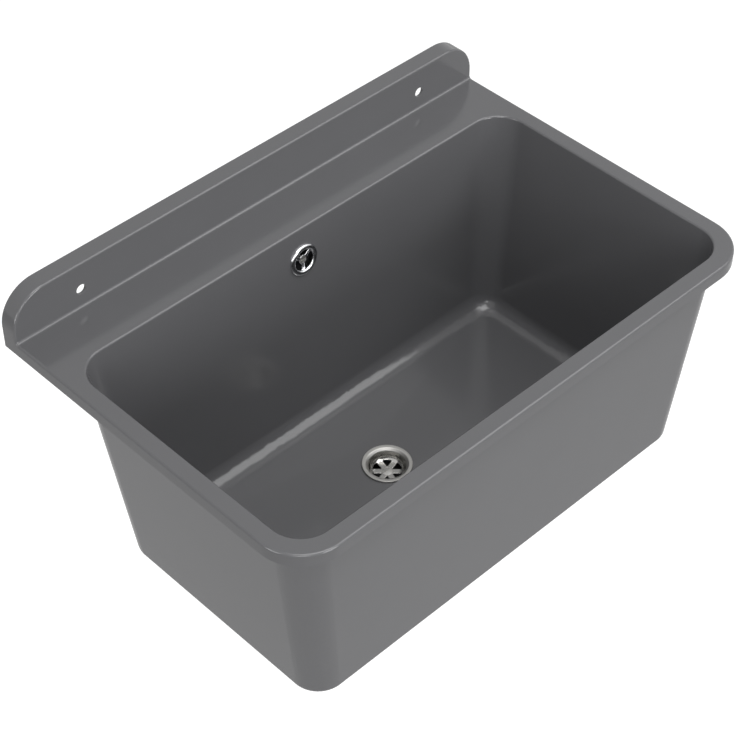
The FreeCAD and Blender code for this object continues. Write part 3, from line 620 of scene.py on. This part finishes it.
# ---- overflow rose --------------------------------------------------------------------
def rose_grids(sizes):
    """Ring and hub: profiles (r, z) turned about the overflow. Arm: a section with a rounded front,
    (w/2 cos u, front + deep (1 - sin u)), carried from the hub to the ring, wider by a cove at both
    ends."""
    edge, opening, crown = sizes.rose_r, sizes.rose_open_r, -sizes.rose_crown
    middle = (edge + opening) / 2
    outer_edge, lip, fine = -0.6 * MM, -0.9 * MM, 0.3 * MM
    cove_length, cove_width, back_share, deep = 1.8 * MM, 0.9 * MM, 0.55, 0.4 * MM
    sleeve, end = sizes.rose_sleeve_r, sizes.rose_sleeve
    ring = np.concatenate([
        [(edge, 0)],
        quarter((edge, outer_edge), (middle, crown), (edge, crown), 12),
        quarter((middle, crown), (opening, lip), (opening, crown), 12)[1:],
        [(opening, end - fine), (opening + fine, end), (sleeve, end), (sleeve, 0)],
    ])
    hub, front, back = sizes.rose_hub_r, sizes.rose_recess, sizes.rose_back
    seat, hole, round_r = 4.3 * MM, 2.8 * MM, 0.4 * MM
    seat_z, hole_z = front + 0.05 * MM, front + 1.25 * MM
    boss = np.concatenate([
        [(hub, back)],
        quarter((hub, front + round_r), (hub - round_r, front), (hub, front), 4),
        [(seat, seat_z), (hole, hole_z), (hole, back)],
    ])
    start, reach = 4.45 * MM, (opening + sleeve) / 2
    along = np.linspace(start, reach, 15)[:, None]
    from_end = np.minimum(along - hub, opening - along) / cove_length
    cove = cove_width * np.clip(1 - from_end, 0, 1) ** 2
    half = sizes.rose_spoke / 2 + np.where(along < middle / 2, 0, cove)
    u = np.linspace(0, math.pi, 13)[None, :]
    across = np.concatenate([half * np.cos(u), -back_share * half, back_share * half], 1)
    depth = np.concatenate([front + deep * (1 - np.sin(u)), [[back, back]]], 1)
    arm = np.stack([along + 0 * across, across, depth + 0 * across], -1)
    cap = arm[[0, -1]].copy()
    cap[..., 1], cap[..., 2] = 0, (front + back) / 2
    arm = np.concatenate([cap[:1], arm, cap[1:]])
    grids = [(revolved(ring, 96), True, True), (revolved(boss, 60), True, True)]
    for n in range(3):
        spin = np.array(Matrix.Rotation(math.radians(90 + n * 120), 3, "Z"))
        grids.append((arm @ spin.T, False, True))
    return grids


# ---- hose -----------------------------------------------------------------------------
def hose_line():
    """Points along the hose's smooth line, read from a NURBS spline of order 3 over its route, and
    the length of the line up to each."""
    curve = bpy.data.curves.new("hose_route", "CURVE")
    curve.dimensions = "3D"
    spline = curve.splines.new("NURBS")
    spline.points.add(len(HOSE_ROUTE) - 1)
    spline.points.foreach_set("co", np.array([(*p, 1) for p in HOSE_ROUTE]).ravel())
    spline.order_u = 3
    spline.use_endpoint_u = True
    spline.resolution_u = 32
    holder = bpy.data.objects.new("hose_route", curve)
    line = bpy.data.meshes.new_from_object(holder)
    points = np.empty(len(line.vertices) * 3)
    line.vertices.foreach_get("co", points)
    points = points.reshape(-1, 3)
    bpy.data.objects.remove(holder)
    bpy.data.curves.remove(curve)
    bpy.data.meshes.remove(line)
    step = np.linalg.norm(np.diff(points, axis=0), axis=1)
    return points, np.concatenate([[0], np.cumsum(step)])


def hose_grid(sizes, columns=40, samples=8):
    """Corrugated hose: r = valley + (rib - valley) sin^1.4(pi u) with u in pitches, smooth cuffs at
    its ends, and an inside that follows the outside. The circle's own X axis stays along the
    sink."""
    points, length = hose_line()
    total, cuff = length[-1], sizes.cuff_length
    ribs = round((total - 2 * cuff) / sizes.rib_pitch)
    u = np.linspace(0, ribs, ribs * samples + 1)
    ribbed = cuff + u * (total - 2 * cuff) / ribs
    r = sizes.valley_r + (sizes.rib_r - sizes.valley_r) * np.abs(np.sin(math.pi * u)) ** 1.4
    lead, chamfer = 0.6 * MM, 0.4 * MM
    ends = np.array([0, chamfer, cuff - lead])
    s = np.concatenate([ends, ribbed, total - ends[::-1]])
    mouth = np.array([sizes.cuff_r - chamfer, sizes.cuff_r, sizes.cuff_r])
    r = np.concatenate([mouth, r, mouth[::-1]])
    s = np.concatenate([s, s[::-1]])
    r = np.concatenate([r, r[::-1] - sizes.hose_wall])[:, None]
    at = np.stack([np.interp(s, length, points[:, k]) for k in range(3)], -1)
    ways = np.gradient(points, length, axis=0)
    way = np.stack([np.interp(s, length, ways[:, k]) for k in range(3)], -1)
    way /= np.linalg.norm(way, axis=1)[:, None]
    side = np.array([1.0, 0, 0])
    up = np.cross(way, side)
    a = np.linspace(0, 2 * math.pi, columns, endpoint=False)[None, :]
    return (at[:, None, :] + (r * np.cos(a))[..., None] * side
            + (r * np.sin(a))[..., None] * up[:, None, :])


# ---- operators ------------------------------------------------------------------------
class SINK_OT_moulding(bpy.types.Operator):
    """The tub, with its rim, upstand, ribs and brackets"""
    bl_idname = "sink.moulding"
    bl_label = "Moulding"

    def execute(self, context):
        tub = dressed_copy("tub", "moulded_tub", finish_of("moulded_grey_polypropylene"), 24.0)
        return {"FINISHED"}


class SINK_OT_strainer(bpy.types.Operator):
    """The pressed steel strainer in the floor"""
    bl_idname = "sink.strainer"
    bl_label = "Strainer"

    def execute(self, context):
        place = waste_place() @ Matrix.Rotation(math.radians(STRAINER_TURN), 4, "Z")
        grids = [(set_at(g, place), a, b) for g, a, b in strainer_grids(context.scene.sink_sizes)]
        cup = piece("strainer_pressing", grids, finish_of("spun_stainless_steel"))
        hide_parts("strainer_cup")
        return {"FINISHED"}


class SINK_OT_screws(bpy.types.Operator):
    """The slotted screws that hold the strainer and the overflow rose"""
    bl_idname = "sink.screws"
    bl_label = "Screws"

    def execute(self, context):
        sizes = context.scene.sink_sizes
        bottom = sizes.seal_t + sizes.flange_crown - sizes.cup_depth
        steel = finish_of("turned_stainless_steel")
        in_cup = waste_place() @ Matrix.Translation((0, 0, bottom + STRAINER_SCREW_LIFT))
        in_wall = (overflow_place() @ Matrix.Translation((0, 0, OVERFLOW_SCREW_DEPTH))
                   @ Matrix.Rotation(math.pi, 4, "X"))
        table = [("strainer_screw", "strainer_fixing", in_cup, STRAINER_SCREW),
                 ("overflow_screw", "overflow_fixing", in_wall, OVERFLOW_SCREW)]
        for node, name, place, shape in table:
            grids = [(set_at(g, place), a, b) for g, a, b in slotted_screw(**shape)]
            screw = piece(name, grids, steel, 40.0)
            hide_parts(node)
        return {"FINISHED"}


class SINK_OT_rose(bpy.types.Operator):
    """The chrome plated rose over the overflow"""
    bl_idname = "sink.rose"
    bl_label = "Overflow rose"

    def execute(self, context):
        place = overflow_place()
        grids = [(set_at(g, place), a, b) for g, a, b in rose_grids(context.scene.sink_sizes)]
        rose = piece("overflow_rose", grids, finish_of("chrome_plated_plastic"), 40.0)
        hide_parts("overflow_grille")
        return {"FINISHED"}


class SINK_OT_hose(bpy.types.Operator):
    """The corrugated hose from the overflow to the waste"""
    bl_idname = "sink.hose"
    bl_label = "Overflow hose"

    def execute(self, context):
        grid = hose_grid(context.scene.sink_sizes)
        hose = piece("ribbed_hose", [(grid, True, True)], finish_of("blown_grey_polyethylene"), 80.0)
        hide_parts("overflow_hose")
        return {"FINISHED"}


class SINK_OT_threaded(bpy.types.Operator):
    """Waste body and elbow, with the pipe threads on their ends"""
    bl_idname = "sink.threaded"
    bl_label = "Threaded fittings"

    def execute(self, context):
        black = finish_of("moulded_black_polypropylene")
        tail, lower, upper = waste_place(), lower_union_place(), upper_union_place()
        bodies = [
            dressed_copy("waste_body", "waste_moulding", black,
                         turned_down=[(tail, *TAIL_TURNED), (lower, *PORT_TURNED)]),
            dressed_copy("overflow_elbow", "elbow_moulding", black,
                         turned_down=[(upper, *PORT_TURNED)]),
        ]
        for name, thread, place in (("tail_thread", TAIL_THREAD, tail),
                                    ("lower_port_thread", PORT_THREAD, lower),
                                    ("upper_port_thread", PORT_THREAD, upper)):
            grid = set_at(thread_sleeve(**thread), place)
            bodies.append(piece(name, [(grid, True, True)], black, 60.0))
        return {"FINISHED"}


class SINK_OT_fittings(bpy.types.Operator):
    """Union nuts, seals and insert nuts"""
    bl_idname = "sink.fittings"
    bl_label = "Fittings"

    def execute(self, context):
        table = [
            ("upper_hose_nut", "upper_union", "moulded_black_polypropylene", "black_polypropylene"),
            ("lower_hose_nut", "lower_union", "moulded_black_polypropylene", "black_polypropylene"),
            ("strainer_seal", "strainer_washer", "moulded_black_rubber", "black_rubber"),
            ("waste_gasket", "waste_washer", "moulded_black_rubber", "black_rubber"),
            ("overflow_gasket", "overflow_washer", "moulded_black_rubber", "black_rubber"),
            ("upper_hose_seal", "upper_cone_ring", "moulded_black_rubber", "black_rubber"),
            ("lower_hose_seal", "lower_cone_ring", "moulded_black_rubber", "black_rubber"),
            ("waste_insert_nut", "waste_nut", "turned_brass", "brass"),
            ("overflow_insert_nut", "overflow_nut", "turned_brass", "brass"),
        ]
        for node, name, finish, slot in table:
            dressed_copy(node, name, finish_of(finish))
        return {"FINISHED"}


# ---- stage ----------------------------------------------------------------------------
FLOOR_Z, FLOOR_HALF = -0.90, 6.0         # metres; low enough to keep the shadow out of the picture
WORLD_LIGHT, WORLD_SEEN = 0.2, 1.0       # on matt surfaces, and as it is seen; 1 is white
FLOOR_TONE = 0.3
FLOOR_SEEN, FLOOR_MIRRORED = 0.45, 0.45  # glow for the camera alone, and for all that sees it

# Lamps: the way from the middle of the bowl, the side of the soft box in metres, watts, and whether
# gloss shows it. All hang at one distance.
BOWL_MIDDLE = Vector((0, -0.2, -0.1))
LAMP_DISTANCE = 2.2
LAMPS = [
    ("overhead_softbox", (-0.08, -0.27, 0.92), 1.3, 25.0, True),
    ("high_right_softbox", (0.5, -0.42, 0.75), 1.5, 21.0, True),
    ("front_left_softbox", (-0.65, -0.65, 0.4), 0.9, 12.0, True),
    ("front_softbox", (0, -1, 0.2), 0.9, 22.0, True),
    ("left_softbox", (-1, 0, 0.12), 0.9, 14.0, True),
    ("back_softbox", (0, 1, 0.1), 0.9, 8.0, False),
]

# The photo's camera: azimuth, elevation and roll in degrees, what it looks at, how far away it is,
# and its lens on a 36 mm frame
CAMERA_TURN = (-44.223, 43.811, 0.205)
CAMERA_TARGET = Vector((-0.089254, -0.264357, 0.0))
CAMERA_DISTANCE = 1.83203
LENS_MM, FRAME_MM = 99.02, 36.0


class SINK_OT_stage(bpy.types.Operator):
    """Floor, studio light and camera"""
    bl_idname = "sink.stage"
    bl_label = "Stage"

    def execute(self, context):
        scene = context.scene
        side = np.linspace(-FLOOR_HALF, FLOOR_HALF, 3)
        x, y = np.meshgrid(side, side, indexing="ij")
        grid = np.stack([x, y, np.full_like(x, FLOOR_Z)], -1)
        mesh = bpy.data.meshes.new("floor")
        mesh.from_pydata(grid.reshape(-1, 3).tolist(), [], quads(3, 3, False, False).tolist())
        floor = bpy.data.objects.new("floor", mesh)
        scene.collection.objects.link(floor)
        floor.data.materials.append(floor_paint())

        world = bpy.data.worlds.new("studio")
        scene.world = world
        world.use_nodes = True
        tree = world.node_tree
        tree.nodes.clear()
        soft, seen = (add(tree, "ShaderNodeBackground",
                          [("Color", (1, 1, 1, 1)), ("Strength", strength)])
                      for strength in (WORLD_LIGHT, WORLD_SEEN))
        mix = add(tree, "ShaderNodeMixShader", _0=seen_rays(tree), _1=soft.outputs[0],
                  _2=seen.outputs[0])
        add(tree, "ShaderNodeOutputWorld", Surface=mix.outputs[0])

        for name, way, size, power, in_gloss in LAMPS:
            lamp(name, way, size, power).visible_glossy = in_gloss

        azimuth, elevation, roll = (math.radians(v) for v in CAMERA_TURN)
        back = Vector((math.sin(azimuth) * math.cos(elevation),
                       -math.cos(azimuth) * math.cos(elevation), math.sin(elevation)))
        level = Vector((0, 0, 1)).cross(back).normalized()
        right = level * math.cos(roll) + back.cross(level) * math.sin(roll)
        up = back.cross(right)
        turn = Matrix((right, up, back)).transposed().to_4x4()
        camera = bpy.data.objects.new("camera", bpy.data.cameras.new("camera"))
        scene.collection.objects.link(camera)
        camera.matrix_world = Matrix.Translation(CAMERA_TARGET + back * CAMERA_DISTANCE) @ turn
        camera.data.lens = LENS_MM
        camera.data.sensor_width = FRAME_MM
        camera.data.clip_start = 0.05
        camera.data.clip_end = 50.0
        scene.camera = camera
        scene.view_settings.view_transform = "Standard"
        return {"FINISHED"}


def lamp(name, way, size, power):
    """Soft box: a square lamp that way from the middle of the bowl, and facing it."""
    data = bpy.data.lights.new(name, "AREA")
    data.shape = "RECTANGLE"
    data.size, data.size_y = size, size
    data.energy = power
    thing = bpy.data.objects.new(name, data)
    bpy.context.scene.collection.objects.link(thing)
    way = Vector(way).normalized()
    thing.location = BOWL_MIDDLE + way * LAMP_DISTANCE
    thing.rotation_euler = (-way).to_track_quat("-Z", "Y").to_euler()
    return thing


def seen_rays(tree):
    """1 for what the camera sees, straight on or in gloss or glass, and 0 for light on matt
    surfaces."""
    rays = add(tree, "ShaderNodeLightPath")
    either = add(tree, "ShaderNodeMath", [("operation", "MAXIMUM")], _0=rays.outputs["Is Camera Ray"],
                 _1=rays.outputs["Is Glossy Ray"])
    return add(tree, "ShaderNodeMath", [("operation", "MAXIMUM")], _0=either.outputs[0],
               _1=rays.outputs["Is Transmission Ray"]).outputs[0]


def floor_paint():
    """Matt pale studio floor. What is seen of it glows a little, so that it is plain white where the
    lamps reach it, and a shadow still shows. Gloss shows it a little greyer than the camera does."""
    material, tree = new_material("matt_pale_floor")
    paint = add(tree, "ShaderNodeBsdfDiffuse", [("Color", (FLOOR_TONE, FLOOR_TONE, FLOOR_TONE, 1))])
    rays = add(tree, "ShaderNodeLightPath")
    mirrored = add(tree, "ShaderNodeMath", [("operation", "MULTIPLY"), (1, FLOOR_MIRRORED)],
                   _0=seen_rays(tree))
    strength = add(tree, "ShaderNodeMath", [("operation", "MULTIPLY_ADD"), (1, FLOOR_SEEN)],
                   _0=rays.outputs["Is Camera Ray"], _2=mirrored.outputs[0])
    glow = add(tree, "ShaderNodeEmission", [("Color", (1, 1, 1, 1))], Strength=strength.outputs[0])
    both = add(tree, "ShaderNodeAddShader", _0=paint.outputs[0], _1=glow.outputs[0])
    add(tree, "ShaderNodeOutputMaterial", Surface=both.outputs[0])
    return material


class SINK_PT_panel(bpy.types.Panel):
    """Lists the pieces of the sink"""
    bl_label = "Mop service sink"
    bl_idname = "SINK_PT_panel"
    bl_space_type = "VIEW_3D"
    bl_region_type = "UI"
    bl_category = "Sink"

    def draw(self, context):
        for operator in OPERATORS:
            self.layout.operator(operator.bl_idname)
        for group in (context.scene.sink_colours, context.scene.sink_sizes):
            for name in group.bl_rna.properties.keys():
                if name not in ("rna_type", "name"):
                    self.layout.prop(group, name)


OPERATORS = (SINK_OT_moulding, SINK_OT_strainer, SINK_OT_screws, SINK_OT_rose, SINK_OT_hose,
             SINK_OT_threaded, SINK_OT_fittings, SINK_OT_stage)
CLASSES = (SinkColours, SinkSizes, *OPERATORS, SINK_PT_panel)


def register():
    for kind in CLASSES:
        bpy.utils.register_class(kind)
    bpy.types.Scene.sink_colours = bpy.props.PointerProperty(type=SinkColours)
    bpy.types.Scene.sink_sizes = bpy.props.PointerProperty(type=SinkSizes)


def unregister():
    del bpy.types.Scene.sink_sizes
    del bpy.types.Scene.sink_colours
    for kind in reversed(CLASSES):
        bpy.utils.unregister_class(kind)


def main():
    register()
    bpy.ops.sink.moulding()
    bpy.ops.sink.strainer()
    bpy.ops.sink.screws()
    bpy.ops.sink.rose()
    bpy.ops.sink.hose()
    bpy.ops.sink.threaded()
    bpy.ops.sink.fittings()
    bpy.ops.sink.stage()


if __name__ == "__main__":
    main()
